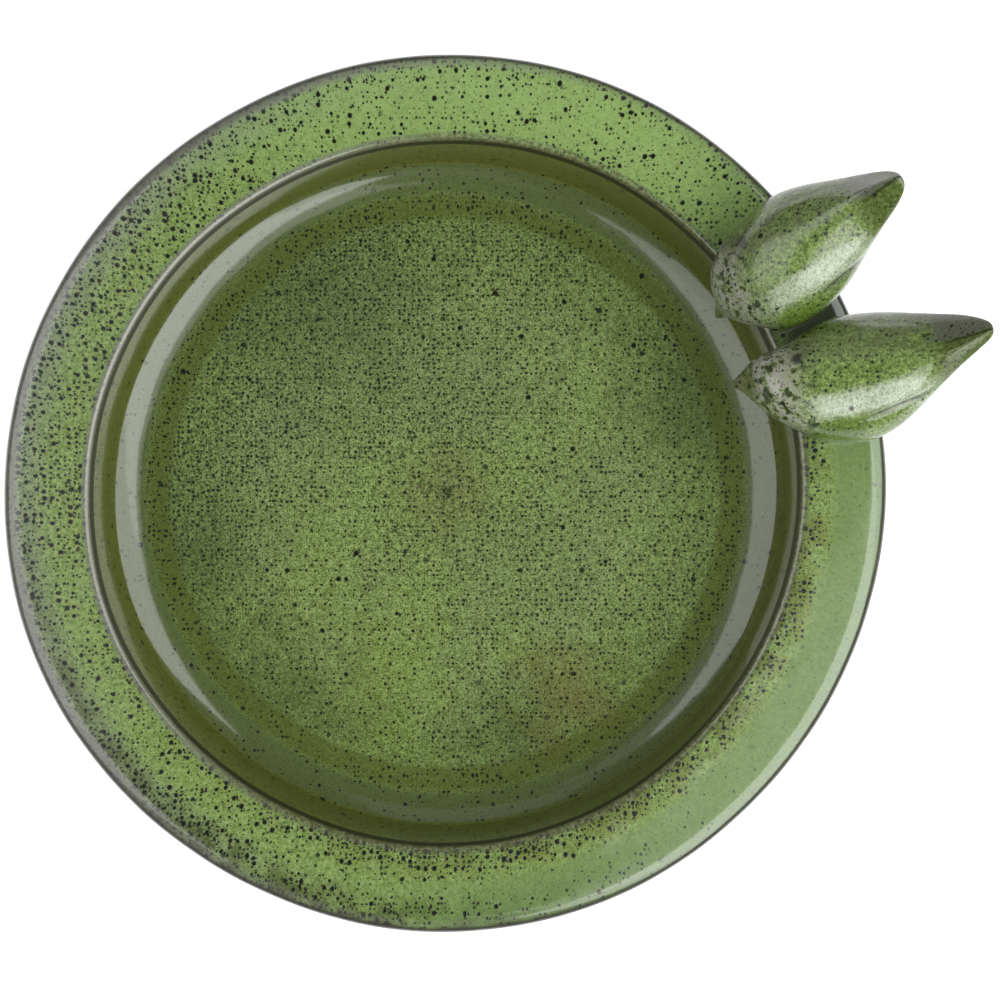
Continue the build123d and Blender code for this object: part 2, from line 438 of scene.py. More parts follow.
def bird_cage(name, rings):
    """The cage: rings joined by quads, a fan over each end, and a crease along the ridge of the tail."""
    points = [p for ring in rings for p in ring_points(ring)]
    faces = []
    for k in range(len(rings) - 1):
        for i in range(RING_POINTS):
            j = (i + 1) % RING_POINTS
            low, high = k * RING_POINTS, (k + 1) * RING_POINTS
            faces.append((low + i, low + j, high + j, high + i))
    for k, push in ((0, -0.5), (len(rings) - 1, 0.7)):
        start = k * RING_POINTS
        middle = Vector(rings[k][:3]) + Vector((push, 0, push * 0.6))
        points.append(tuple(middle))
        hub = len(points) - 1
        for i in range(RING_POINTS):
            faces.append((start + i, start + (i + 1) % RING_POINTS, hub))
    cage = new_piece(name, points, faces=faces)
    work = bmesh.new()
    work.from_mesh(cage.data)
    bmesh.ops.recalc_face_normals(work, faces=work.faces)
    sharp = work.edges.layers.float.new("crease_edge")
    work.verts.ensure_lookup_table()
    top = RING_POINTS // 4
    for k in range(len(rings) - 1):
        a = work.verts[k * RING_POINTS + top]
        b = work.verts[(k + 1) * RING_POINTS + top]
        work.edges.get((a, b))[sharp] = max(0.0, rings[k][7] * 1.1 - 0.15)
    work.to_mesh(cage.data)
    work.free()
    return cage


# %% [markdown]
# The folded wings are only hinted at: a short crease low on the left flank, where the wing's edge
# stands proud of the belly, and hardly a trace of it on the right. It is pressed into the fine mesh.
# Points just under the edge move in along their normal, points above it move out.

# %% Wings
WING_EDGE = [(34, 17.0), (45, 15.0), (60, 11.8), (68, 8.0), (74, 5.0)]  # from the front, half width
WING_RAISE = 0.5
WING_GROOVE = 0.7


def press_wings(piece):
    """Press the wing creases into a bird that is still level; returns how deep each point lies in one."""
    points = points_of(piece)
    normals = np.empty(3 * len(points), np.float32)
    piece.data.vertex_normals.foreach_get("vector", normals)
    normals = normals.reshape(-1, 3)
    along, across, up = points.T
    inside = np.interp(along, *zip(*WING_EDGE)) - np.abs(across)
    spine = np.interp(along, [30, 60, 84], [17, 24, 44])
    upper = ease(up - spine, -3.0, 2.0)
    ends = ease(along, 38, 46) * (1 - ease(along, 58, 68)) * (0.15 + 0.85 * ease(-across, 0, 6))
    raised = WING_RAISE * ease(inside, -0.4, 0.7) * (1 - ease(inside, 1.5, 6.0))
    groove = np.exp(-((inside + 0.7) / 0.7) ** 2)
    amount = (raised - WING_GROOVE * groove) * upper * ends
    move_points(piece, points + normals * amount[:, None])
    return ends * upper * groove


def make_bird(name, rings, perch):
    """A finished bird on its perch, with what the glaze needs to know stored on its points."""
    bird = bird_cage(name, rings)
    add_modifier(bird, "SUBSURF", levels=3, render_levels=3)
    settle(bird)
    groove = press_wings(bird)
    level = points_of(bird)
    store(bird, "along", level[:, 0])
    store(bird, "across", level[:, 1])
    store(bird, "groove", groove)
    bird.data.transform(perch_matrix(perch))
    placed = points_of(bird)
    floor = (RIM_TOP + SEAT) * MM
    over_rim = np.hypot(placed[:, 0], placed[:, 1]) > (LIP_RADIUS - 2) * MM
    placed[:, 2] = np.where(over_rim & (placed[:, 2] < floor), floor, placed[:, 2])
    move_points(bird, placed)
    smooth(bird)
    size = np.ptp(placed, axis=0) / MM
    print(name, "x".join(f"{side:.1f}" for side in size), f"mm, top at {placed[:, 2].max() / MM:.1f} mm")
    return bird


watching = make_bird("glazed_watching_bird", WATCHING_RINGS, PERCHES["watching"])
drinking = make_bird("glazed_drinking_bird", DRINKING_RINGS, PERCHES["drinking"])

# %% [markdown]
# ## The slip under the birds
#
# Slip is clay thinned with water. The potter presses the bird into it, and what squeezes out is
# smoothed into a fillet. Here a ring of short sections is laid round each belly: for each direction, a
# ray finds the bird's flank and another the rim, and a curved section joins the two.

# %% Fillet collars
COLLAR_SECTIONS = 40
COLLAR_RISE = 4.6  # height on the flank
COLLAR_REACH = 4.2  # how far it runs out over the rim
COLLAR_MIDDLE = 0.9  # height of the fillet's middle above the rim
COLLAR_SUNK = 1.2  # how far its hidden root goes into the rim
SEAT_INWARD = 5.0  # from a bird's pivot to the middle of its seat
RIM_MARGIN = 1.2


def surface_tree(piece):
    """A search tree over a piece's finished surface."""
    graph = bpy.context.evaluated_depsgraph_get()
    return BVHTree.FromObject(piece, graph)


def rim_height(tree, x, y):
    """The height of the dish under a point."""
    hit = tree.ray_cast(Vector((x, y, 0.2)), Vector((0, 0, -1)))[0]
    return hit.z


def make_collar(name, bird, perch):
    """The collar of slip round one bird's belly, a closed ring of sections."""
    bird_tree = surface_tree(bird)
    dish_tree = surface_tree(dish)
    turn = math.radians(perch["turn"])
    inward = Vector((math.cos(turn), math.sin(turn), 0)) * SEAT_INWARD
    middle = (Vector((perch["x"], perch["y"], RIM_TOP)) - inward) * MM
    points = []
    for i in range(COLLAR_SECTIONS):
        a = 2 * math.pi * i / COLLAR_SECTIONS
        out = Vector((math.cos(a), math.sin(a), 0))
        flank = []
        for rise in (COLLAR_RISE, COLLAR_RISE * 0.45):
            start = middle + Vector((0, 0, rise * MM))
            flank.append(bird_tree.ray_cast(start, out)[0])
        reach = COLLAR_REACH * (1 + 0.18 * math.sin(3 * a + perch["x"]) + 0.12 * math.sin(7 * a))
        toe = flank[1] + out * reach * MM
        distance = math.hypot(toe.x, toe.y)
        low, high = (LIP_RADIUS + 0.6) * MM, (RIM_RADIUS - RIM_MARGIN) * MM
        toe *= min(max(distance, low), high) / distance
        toe.z = rim_height(dish_tree, toe.x, toe.y)
        bend = flank[1].lerp(toe, 0.42)
        bend.z = toe.z + COLLAR_MIDDLE * MM
        sunk = Vector((0, 0, COLLAR_SUNK * MM))
        inner = flank[0] - out * 2.0 * MM
        root = Vector((inner.x, inner.y, toe.z)) - sunk
        outside = [flank[0] + out * 0.05 * MM, flank[1] + out * 0.5 * MM, bend, toe]
        points += outside + [toe - sunk, root, inner]
    count = len(points) // COLLAR_SECTIONS
    faces = []
    for i in range(COLLAR_SECTIONS):
        j = (i + 1) % COLLAR_SECTIONS
        for k in range(count):
            m = (k + 1) % count
            faces.append((i * count + k, j * count + k, j * count + m, i * count + m))
    collar = new_piece(name, points, faces=faces)
    add_modifier(collar, "SUBSURF", levels=2, render_levels=2)
    settle(collar)
    smooth(collar)
    print(f"{name}: {len(collar.data.polygons)} faces")
    return collar


watching_slip = make_collar("watching_slip_collar", watching, PERCHES["watching"])
drinking_slip = make_collar("drinking_slip_collar", drinking, PERCHES["drinking"])


# %% [markdown]
# ## Glaze
#
# The finish is a reactive green glaze on dark clay. Iron in the clay boils up through it while it melts
# and leaves black-olive specks, from dust to peppercorn size. Where the glaze pools it is deep olive,
# where it runs thin, on edges, it turns grey. All of that can be written as sums on noise and cell
# textures, read in Object coordinates, so that the specks keep their real size on every piece.
#
# Shader sums are easier to read as formulas than as nodes, so a small class stands for a socket: adding
# or multiplying two of them makes the Math node. One more method makes any other node.

# %% A class for shader sums
class Wire:
    """A socket of a material's nodes. Arithmetic on it adds the Math nodes that work it out."""

    def __init__(self, tree, socket):
        self.tree = tree
        self.socket = socket

    def node(self, kind, settings=None, inputs=None, out=0):
        """Any node of the same material: settings first, then the values or wires of its inputs."""
        made = self.tree.nodes.new(kind)
        for key, value in (settings or {}).items():
            setattr(made, key, value)
        for key, value in (inputs or {}).items():
            if isinstance(value, Wire):
                self.tree.links.new(value.socket, made.inputs[key])
            else:
                made.inputs[key].default_value = value
        return Wire(self.tree, made.outputs[out])

    def maths(self, operation, *values):
        """One Math node on these values."""
        return self.node("ShaderNodeMath", {"operation": operation}, dict(enumerate(values)))

    def __add__(self, other):
        return self.maths("ADD", self, other)

    def __sub__(self, other):
        return self.maths("SUBTRACT", self, other)

    def __rsub__(self, other):
        return self.maths("SUBTRACT", other, self)

    def __mul__(self, other):
        return self.maths("MULTIPLY", self, other)

    def __truediv__(self, other):
        return self.maths("DIVIDE", self, other)

    __radd__ = __add__
    __rmul__ = __mul__

    def rises(self, low, high):
        """0 below low, 1 above high, smooth between; low and high may be wires."""
        span = {"Value": self, "From Min": low, "From Max": high}
        return self.node("ShaderNodeMapRange", {"interpolation_type": "SMOOTHSTEP"}, span)

    def falls(self, low, high):
        """1 below low, 0 above high."""
        return 1 - self.rises(low, high)

    def band(self, low, high, soft):
        """1 between low and high, 0 outside, with soft sides."""
        return self.rises(low - soft, low + soft) * self.falls(high - soft, high + soft)

    def clamped(self):
        """This number, kept between 0 and 1."""
        return self.node("ShaderNodeClamp", None, {"Value": self})

    def between(self, first, second):
        """The colour that lies this far from a first to a second one."""
        return self.node("ShaderNodeMix", {"data_type": "RGBA"}, {0: self, 6: first, 7: second}, out=2)

    def between_numbers(self, first, second):
        """The number that lies this far from a first to a second one."""
        return first + (second - first) * self

    def mix(self, other, share):
        """This colour, with a share of another colour laid over it."""
        return self.node("ShaderNodeMix", {"data_type": "RGBA"}, {0: share, 6: self, 7: other}, out=2)

    def stored(self, name):
        """The number stored on the points under a name."""
        return self.node("ShaderNodeAttribute", {"attribute_name": name}, out=2)

    def channel(self, index):
        """One channel of a colour or vector."""
        return self.node("ShaderNodeSeparateColor", None, {"Color": self}, out=index)

    def noise(self, size, detail=2.0, out=0, roughness=0.5):
        """Cloudy noise with clouds of a size in millimetres, read here; out=1 gives its colour."""
        inputs = {"Vector": self, "Scale": 1.0 / size, "Detail": detail, "Roughness": roughness}
        return self.node("ShaderNodeTexNoise", None, inputs, out=out)

    def distance(self, point):
        """How far this position is from a point."""
        return self.node("ShaderNodeVectorMath", {"operation": "DISTANCE"}, {0: self, 1: point}, out=1)

    def moved(self, vector, share):
        """This position, moved by a share of a noise colour."""
        middle = (0.5, 0.5, 0.5)
        centred = self.node("ShaderNodeVectorMath", {"operation": "SUBTRACT"}, {0: vector, 1: middle})
        scaled = self.node("ShaderNodeVectorMath", {"operation": "SCALE"}, {0: centred, "Scale": share})
        return self.node("ShaderNodeVectorMath", {"operation": "ADD"}, {0: self, 1: scaled})


# %% [markdown]
# A glaze starts from the same thing on every piece, the place in millimetres, and ends in the same
# glossy surface with a clear coat. Colours are written as a screen shows them and turned into linear
# light, which is what shaders reckon in.

# %% Starting a material
def tint(red, green, blue):
    """A colour as shown on a screen, 0 to 255, in linear light."""
    shares = [value / 255 for value in (red, green, blue)]
    linear = [s / 12.92 if s <= 0.04045 else ((s + 0.055) / 1.055) ** 2.4 for s in shares]
    return (*linear, 1.0)


def start_material(name):
    """A new, empty material and its first wire: the place on the object in millimetres."""
    material = bpy.data.materials.new(name)
    material.use_nodes = True
    tree = material.node_tree
    tree.nodes.clear()
    place = Wire(tree, None)
    metres = place.node("ShaderNodeTexCoord", out=3)
    scaled = place.node("ShaderNodeVectorMath", {"operation": "SCALE"}, {0: metres, "Scale": 1000.0})
    return material, scaled


def finish_material(material, colour, roughness, height, coat=1.0, relief=0.0001):
    """Close a material: a glazed surface with its colour, gloss and a relief so many metres deep."""
    tree = material.node_tree
    normal = colour.node("ShaderNodeBump", None, {"Distance": relief, "Height": height})
    inputs = {
        "Base Color": colour,
        "Roughness": roughness,
        "IOR": 1.52,
        "Normal": normal,
        "Coat Weight": coat,
        "Coat Roughness": 0.07,
        "Coat IOR": 1.5,
    }
    surface = colour.node("ShaderNodeBsdfPrincipled", None, inputs)
    output = tree.nodes.new("ShaderNodeOutputMaterial")
    tree.links.new(surface.socket, output.inputs["Surface"])
    return material


print("a middle grey of 128 is", round(tint(128, 128, 128)[0], 3), "in linear light")

# %% [markdown]
# Specks are cells of a Voronoi texture, shrunk. Each cell has a random colour, and its channels decide
# how large the speck in it is and whether there is one at all. Three sizes of cells, one over the
# other, give the mixture of dust, grains and drops that the real glaze has. The place is shaken by fine
# noise first, which keeps them from being perfectly round. The cells can be solid, or lie in a plane,
# which is the better way on a surface that can be rolled out.

# %% Specks
DUST = dict(size=0.85, smallest=0.12, largest=0.36, softness=0.5)  # the size is the cell's, in millimetres
GRAINS = dict(size=1.7, smallest=0.12, largest=0.35, softness=0.4)  # the rest are shares of the cell
DROPS = dict(size=3.0, smallest=0.12, largest=0.33, softness=0.3)


def specks(place, cover, cells, size, smallest, largest, softness):
    """A mask of specks; cover is the share of cells that have one."""
    inputs = {"Vector": place, "Scale": 1.0 / size, "Randomness": 0.78}
    distance = place.node("ShaderNodeTexVoronoi", {"voronoi_dimensions": cells}, inputs, out=0)
    chance = Wire(place.tree, distance.socket.node.outputs["Color"])
    radius = smallest + (largest - smallest) * chance.channel(0)
    shown = chance.channel(1).falls(cover - 0.04, cover + 0.04)
    return distance.falls(radius * (1 - softness), radius * (1 + softness)) * shown


def iron(place, fine, grains, drops, cells="3D"):
    """All the specks of a place: the covers of dust, of grains and of drops, each a wire or a number."""
    shaken = place.moved(place.noise(0.9, detail=1.0, out=1), 0.35)
    dust = specks(shaken, fine, cells, **DUST)
    grain = specks(shaken, grains, cells, **GRAINS)
    drop = specks(shaken, drops, cells, **DROPS)
    return dust, grain, drop


# %% [markdown]
# The dish's glaze changes along its profile, so it reads the span stored on its points. From the
# middle: a matted green floor full of dust, with a few darker clouds and a brown stain from the kiln,
# an olive ring where the glaze gathers at the foot of the cove, a pale cove, an olive wall that is paler
# near the lip and has painted reflection on the left, a dark line under the lip, partly where the glaze
# has run off the edge and partly painted shade, a grey lip with a painted highlight, the bright rim, and
# a dark outer edge, partly painted shade. Green, olive, grey and near black are all there is, in many
# shades, so the colours come first.

# %% The colours of the dish's glaze
RIM_DEEP = tint(108, 137, 64)
RIM_PALE = tint(154, 180, 104)
RIM_YELLOW = tint(130, 142, 58)
RIM_OUTER = tint(110, 138, 80)
RIM_PAINTED_LIGHT = tint(158, 192, 114)
GREY_FILM_AND_REFLECTION = tint(138, 142, 130)
FLOOR_DEEP = tint(100, 122, 58)
FLOOR_PALE = tint(158, 182, 108)
FLOOR_GREY = tint(104, 114, 86)
FLOOR_BROWN = tint(112, 100, 52)
FLOOR_LIME = tint(128, 152, 60)
FLOOR_SHADE = tint(58, 68, 36)
COVE_GREEN = tint(90, 104, 56)
OLIVE = tint(88, 98, 36)
OLIVE_DEEP = tint(66, 70, 24)
WALL_OLIVE = tint(102, 108, 42)
WALL_PALE_AND_REFLECTION = tint(134, 142, 92)
LIP_GREY_AND_HIGHLIGHT = tint(128, 126, 124)
LIP_BREAK_AND_SHADE = tint(38, 40, 24)
EDGE_GREY_AND_REFLECTION = tint(118, 116, 112)
EDGE_BREAK_AND_SHADE = tint(58, 56, 52)
PAINTED_GAP_SHADE = tint(44, 48, 38)
SPECK = tint(12, 17, 6)
SPECK_GREEN = tint(38, 52, 16)
BARE_CLAY = tint(126, 96, 74)

# %% [markdown]
# How the glaze looks depends on the side, too, because the kiln and the potter's brush never treat all
# sides alike. The masks that say where a point lies are gathered in one class, so that the colours
# below read like a description. Directions are in degrees, from +X towards +Y: left is near 180, upper
# is near 90.

# %% Where a point lies on the dish
def toward(place, degrees):
    """How far a place lies towards one side of the dish: 1 on the rim in that direction, -1 opposite."""
    way = (math.cos(math.radians(degrees)), math.sin(math.radians(degrees)), 0.0)
    dot = place.node("ShaderNodeVectorMath", {"operation": "DOT_PRODUCT"}, {0: place, 1: way}, out=1)
    return dot / RIM_RADIUS


class DishMasks:
    """Wires that say where on the dish a point lies, and the noises that its glaze shares."""

    def __init__(self, place):
        self.place = place
        self.span = place.stored("span")
        self.wide = place.noise(34.0, detail=3.0)
        self.middling = place.noise(10.0, detail=3.0)
        self.fine = place.noise(1.5, detail=3.0, roughness=0.65)
        self.dapple = place.noise(0.7, detail=1.0)
        self.wander = self.span + (self.middling - 0.5) * 2.0
        self.floor = self.wander.falls(SPAN["cove"] + 3, SPAN["cove"] + 7)
        past_lip = self.span.rises(SPAN["lip"] - 0.5, SPAN["lip"] + 0.6)
        self.rim = past_lip * self.span.falls(SPAN["rim_side"], SPAN["root"])
        self.across_rim = (self.span - SPAN["lip"]) / (SPAN["edge"] - SPAN["lip"])
        self.near_lip = self.across_rim.falls(0.15, 0.5)
        self.inner_half = self.across_rim.falls(0.35, 0.65)
        self.outer_half = self.across_rim.rises(0.35, 0.6)
        self.left = toward(place, 165.0)
        self.upper = toward(place, 75.0).rises(0.35, 0.95)
        self.upper_left = toward(place, 135.0).rises(-0.1, 0.5)
        self.lower_left = toward(place, -112.0)
        self.lower_right = toward(place, -30.0).rises(0.15, 0.75)


# %% [markdown]
# Specks are round on the steep wall as well as on the rim. So their cells lie in a plane that is the
# glazed surface rolled out: the direction from the axis stays, and the distance from it becomes the
# span. At the rim's side the plane folds back under the dish.
#
# One number, busy, says how many specks the rim has. It grows towards the left, in clouds, along the
# lip and at the outer edge, and it falls where the glaze is clear, at the lower right. The floor has
# more dust than drops.

# %% The dish's specks
def rolled_out(on):
    """The dish's surface laid out flat."""
    place, side = on.place, SPAN["rim_side"]
    level = (1.0, 1.0, 0.0)
    from_axis = place.node("ShaderNodeVectorMath", {"operation": "MULTIPLY"}, {0: place, 1: level})
    radius = from_axis.node("ShaderNodeVectorMath", {"operation": "LENGTH"}, {0: from_axis}, out=1)
    stretch = (side - on.span.maths("ABSOLUTE", on.span - side)) / radius
    return place.node("ShaderNodeVectorMath", {"operation": "SCALE"}, {0: from_axis, "Scale": stretch})


def dish_specks(on):
    """The masks of dust, grains and drops on the dish."""
    clouds = on.middling.rises(0.38, 0.66) * 0.3 + on.wide.rises(0.42, 0.6) * 0.15
    busy = on.left.rises(-0.9, 0.9) * 0.45 + clouds
    busy = busy * (1 - on.lower_right * on.outer_half * 0.97)
    busy = busy + on.near_lip * toward(on.place, -20.0).rises(-0.5, 0.3) * 0.5
    busy = busy - on.lower_left.rises(0.35, 0.9) * on.across_rim.band(0.2, 0.75, 0.15) * 0.3
    busy = busy + (0.28 - busy) * on.upper * 0.85
    busy = busy + toward(on.place, -95.0).rises(0.5, 0.95) * 0.25
    busy = (busy + on.across_rim.rises(0.8, 1.0) * (1 - on.lower_right) * 0.2).clamped()
    floor_grains = 0.12 + on.floor * (0.12 + on.wide.rises(0.35, 0.6) * 0.25 + on.upper_left * 0.3)
    dust_cover = on.rim.between_numbers(0.55 + on.floor * 0.4, 0.1 + busy * 0.5)
    grain_cover = on.rim.between_numbers(floor_grains, busy * 0.95)
    drop_cover = on.rim.between_numbers(0.05, busy.rises(0.1, 0.9) * 0.85)
    return iron(rolled_out(on), dust_cover, grain_cover, drop_cover, "2D")


# %% [markdown]
# The rim is a mottle of two greens. It is yellower and browner towards the lip, has a grey painted
# reflection on the outer left, is darker towards the outer edge at the lower left, and its top is made the
# brightest with painted light.

# %% The rim's colour
def rim_colour(on):
    """The colour of the rim, without its specks."""
    middling, dapple = on.middling, on.dapple
    colour = on.fine.rises(0.3, 0.7).between(RIM_DEEP, RIM_PALE)
    yellow = on.inner_half * middling.rises(0.35, 0.65) * (0.25 + on.lower_right * 0.4)
    brown = on.near_lip * on.left.falls(-0.4, 0.6) * middling.rises(0.3, 0.6) * 0.45
    # Painted reflection: the outer left of the rim greyed where its roll-over mirrors a soft box.
    left_reflection = on.across_rim.rises(0.5, 1.0) * on.left.rises(-0.2, 0.7) * 0.5
    colour = colour.mix(RIM_YELLOW, yellow).mix(OLIVE, brown).mix(GREY_FILM_AND_REFLECTION, left_reflection)
    colour = colour.mix(GREY_FILM_AND_REFLECTION, dapple.rises(0.5, 0.75) * 0.35)
    colour = colour.mix(SPECK_GREEN, dapple.falls(0.3, 0.48) * 0.45)
    # Darker olive towards the outer edge at the lower left.
    olive_darkening = on.lower_left.rises(0.3, 0.8) * on.across_rim.rises(0.6, 1.0)
    colour = colour.mix(OLIVE_DEEP, olive_darkening * (0.15 + middling.rises(0.35, 0.6) * 0.5))
    colour = colour.mix(RIM_OUTER, on.outer_half * on.lower_right * 0.75)
    # Painted light: the top side of the rim made brighter.
    return colour.mix(RIM_PAINTED_LIGHT, on.upper * (0.35 + middling * 0.5))


# %% [markdown]
# The well is one gradient from the middle to the lip, with local things laid over it: a brown ring
# round a dark middle, grey and lime sides, a matting of tiny dots, the clouds and the stain. A cloud is
# a distance from a point, shaken by noise.

# %% The well's colour
CLOUDS = [  # darker clouds on the floor: where, and how broad
    (-56, -70, 40),
    (82, 29, 36),
    (-45, 70, 60),
    (24, -84, 34),
    (-84, -20, 34),
]
STAIN = (44, -70, WELL_FLOOR)


def floor_colour(on):
    """The colour of the floor, from its middle to the foot of the cove."""
    place, wide, middling, fine, dapple = on.place, on.wide, on.middling, on.fine, on.dapple
    colour = fine.rises(0.3, 0.7).between(FLOOR_DEEP, FLOOR_PALE)
    grey = (wide.rises(0.3, 0.75) * 0.6 + on.upper_left * 0.4).clamped()
    colour = colour.mix(FLOOR_GREY, grey * 0.6)
    colour = colour.mix(FLOOR_LIME, toward(place, -100.0).rises(0.0, 0.5) * wide.falls(0.3, 0.65) * 0.4)
    colour = colour.mix(FLOOR_BROWN, on.wander.falls(6.0, 26.0) * fine.rises(0.35, 0.6) * 0.6)
    colour = colour.mix(SPECK, on.wander.falls(0.5, 3.5) * 0.7)
    colour = colour.mix(FLOOR_DEEP, on.span.rises(62.0, 92.0) * 0.6)
    colour = colour.mix(FLOOR_PALE, dapple.rises(0.5, 0.7) * 0.5)
    matting = 0.4 + on.upper_left * 0.2 + on.span.falls(20.0, 60.0) * 0.2
    colour = colour.mix(SPECK, dapple.falls(0.33, 0.5) * matting)
    for x, y, breadth in CLOUDS:
        shaken = place.distance((x, y, WELL_FLOOR)) + (middling + wide - 1.0) * breadth * 1.3
        colour = colour.mix(FLOOR_SHADE, shaken.falls(0.0, breadth) * 0.42)
    stain = (place.distance(STAIN) + (middling - 0.5) * 50.0).falls(0.0, 30.0)
    return colour.mix(FLOOR_BROWN, stain * 0.5)


def well_colour(on):
    """The colour of the whole well: the floor, the olive ring, the cove and the wall up to the lip."""
    cove, crease_span, lip_span = SPAN["cove"], SPAN["crease"], SPAN["lip"]
    on_wall = on.wander.rises(crease_span - 1.5, crease_span + 1.0)
    colour = floor_colour(on).mix(OLIVE, on.wander.band(cove - 3, cove + 5, 2.0) * 0.75)
    colour = colour.mix(COVE_GREEN, on.wander.rises(cove + 4, cove + 7))
    colour = colour.mix(WALL_OLIVE, on_wall)
    # Paler near the lip, and more so on the left: that part is painted reflection of the lit cove.
    pale = on.span.rises(lip_span - 18, lip_span - 7) * (0.25 + on.left.rises(0.1, 0.85) * 0.55)
    return colour.mix(WALL_PALE_AND_REFLECTION, pale).mix(OLIVE, on_wall * on.dapple.rises(0.4, 0.7) * 0.4)


# %% [markdown]
# Glaze runs off every edge while it is melted. So the lip and the outer edge are thin and grey, and greyer
# on the left with a painted highlight and painted reflection; under the lip lies a dark matt line, partly
# glaze break and partly painted shade; under the outer edge a narrow dark one, partly painted shade; and
# between the birds the rim is darkened with painted shade. The foot ring was wiped clean, so that the dish
# wouldn't stick to the shelf of the kiln.

# %% The edges
seats = [Vector((perch["x"], perch["y"], RIM_TOP)) for perch in PERCHES.values()]
GAP = tuple((seats[0] + seats[1]) / 2 + Vector((-4.0, 0, 0)))  # between the birds


def with_edges(colour, on, line, bare):
    """A colour with what the glaze does at edges laid over it, painted highlight and shade included; line
    is under the lip, bare is the foot.
    """
    lip_span, edge_span = SPAN["lip"], SPAN["edge"]
    lip = on.span.band(lip_span - 1.4, lip_span + 1.6, 0.5)
    # Partly thin glaze, partly painted highlight: the lip greyed, most on the left, where its rounding
    # mirrors a soft box.
    colour = colour.mix(LIP_GREY_AND_HIGHLIGHT, lip * (0.25 + on.left.rises(0.0, 0.7) * 0.4))
    colour = colour.mix(OLIVE_DEEP, lip * on.left.falls(0.0, 0.7) * on.fine.rises(0.4, 0.6) * 0.7)
    # Partly glaze break, partly painted shade: the dark line where the lip turns down into the well.
    colour = colour.mix(LIP_BREAK_AND_SHADE, line * 0.92)
    thin = (on.span + (on.middling - 0.5) * 3.0).rises(edge_span + 0.5, edge_span + 3.5)
    # Partly thin glaze, partly painted reflection: the outer edge greyed, most on the left, where it
    # mirrors a soft box.
    colour = colour.mix(EDGE_GREY_AND_REFLECTION, thin * (0.2 + on.left.rises(-0.3, 0.8) * 0.6))
    below_edge = (on.span + (on.middling - 0.5) * 1.5).rises(edge_span + 3.6, edge_span + 5.4)
    underside = on.wander.rises(SPAN["rim_side"] + 3.0, SPAN["rim_side"] + 9.0)
    # Partly glaze break, partly painted shade: the turned-down side under the outer edge darkened, less on
    # the left.
    dark = below_edge * (0.9 - on.left.rises(0.2, 0.9) * 0.5) * (1 - underside * 0.8)
    # Painted shade: the rim darkened between the two birds.
    gap_shade = (on.place.distance(GAP) + (on.middling - 0.5) * 6.0).falls(7.0, 15.0)
    return colour.mix(EDGE_BREAK_AND_SHADE, dark).mix(PAINTED_GAP_SHADE, gap_shade * 0.85).mix(BARE_CLAY, bare)


# %% The dish's glaze
def make_dish_glaze():
    """The whole glaze: the well and the rim, the specks over both, and the edges over all."""
    material, place = start_material("dish_glaze")
    on = DishMasks(place)
    dust, grain, drop = dish_specks(on)
    line = on.span.band(SPAN["lip"] - 4.6, SPAN["lip"] - 1.2, 0.5)
    bare = on.span.band(SPAN["foot"] - 1.5, SPAN["foot_inside"] + 1.5, 0.6)
    colour = well_colour(on).mix(rim_colour(on), on.rim)
    colour = colour.mix(SPECK_GREEN, dust * 0.6).mix(SPECK, grain * 0.9).mix(SPECK, drop)
    colour = with_edges(colour, on, line, bare)
    roughness = 0.12 + on.fine * 0.05 + drop * 0.05 + bare * 0.5 + line * 0.3
    relief = place.noise(5.0, detail=2.0) * 0.6 + on.fine * 0.15 - drop * 0.35 - grain * 0.15
    return finish_material(material, colour, roughness, relief, coat=(1 - bare) * (1 - line * 0.85))


dish_glaze = make_dish_glaze()
print(dish_glaze.name, "has", len(dish_glaze.node_tree.nodes), "nodes")

# %% [markdown]
# On the birds the glaze has run off every ridge. The heads and tails are mottled grey, the pale mottle of
# the heads partly a painted highlight, and the backs are green with fine specks. A pale band lies along
# each left shoulder, partly thin glaze and partly a painted highlight, and deep green lies low on the
# flanks, partly gathered glaze and partly painted shade; the crease under the wings is dark. The masks read
# the bird's own measures, stored on its points before it was put on its perch: the distance from its beak,
# and how far a point lies to its right.

# %% The colours of the birds' glaze
BIRD_DEEP = tint(88, 110, 48)
BIRD_PALE = tint(144, 170, 92)
BIRD_GREY = tint(106, 110, 82)
BIRD_GREEN_AND_SHADE = tint(80, 108, 28)
HEAD_PALE_AND_HIGHLIGHT = tint(164, 162, 150)
HEAD_DARK = tint(40, 42, 30)
TAIL_GREY = tint(96, 98, 86)
CREASE_DARK = tint(44, 46, 30)
SHOULDER_HIGHLIGHT_AND_THIN_GLAZE = tint(192, 204, 176)

# %% Where a point lies on a bird
class BirdMasks:
    """Wires that say where on a bird a point lies, and the noises that its glaze shares."""

    def __init__(self, place):
        self.place = place
        self.along = place.stored("along")
        self.across = place.stored("across")
        self.groove = place.stored("groove")
        self.wide = place.noise(13.0, detail=2.0)
        self.middling = place.noise(4.5, detail=3.0)
        self.blotches = place.noise(3.0, detail=3.0, roughness=0.6)
        self.fine = place.noise(1.3, detail=2.0, roughness=0.65)
        self.dapple = place.noise(0.7, detail=1.0)
        self.sway = self.middling - 0.5
        wander = self.along + self.sway * 10.0
        self.head = (wander + (self.blotches - 0.5) * 22.0).falls(16.0, 28.0)
        self.tail = wander.rises(62.0, 70.0)
        self.right_side = (self.across + self.sway * 14.0).rises(0.0, 9.0)
        back = self.along.band(24.0, 64.0, 5.0)
        self.shoulder = (self.across + self.sway * 3.0).band(-14.5, -7.0, 1.6) * back
        height = place.node("ShaderNodeSeparateXYZ", None, {0: place}, out=2)
        self.low = (height + self.sway * 4.0).falls(RIM_TOP + 7.0, RIM_TOP + 14.0)


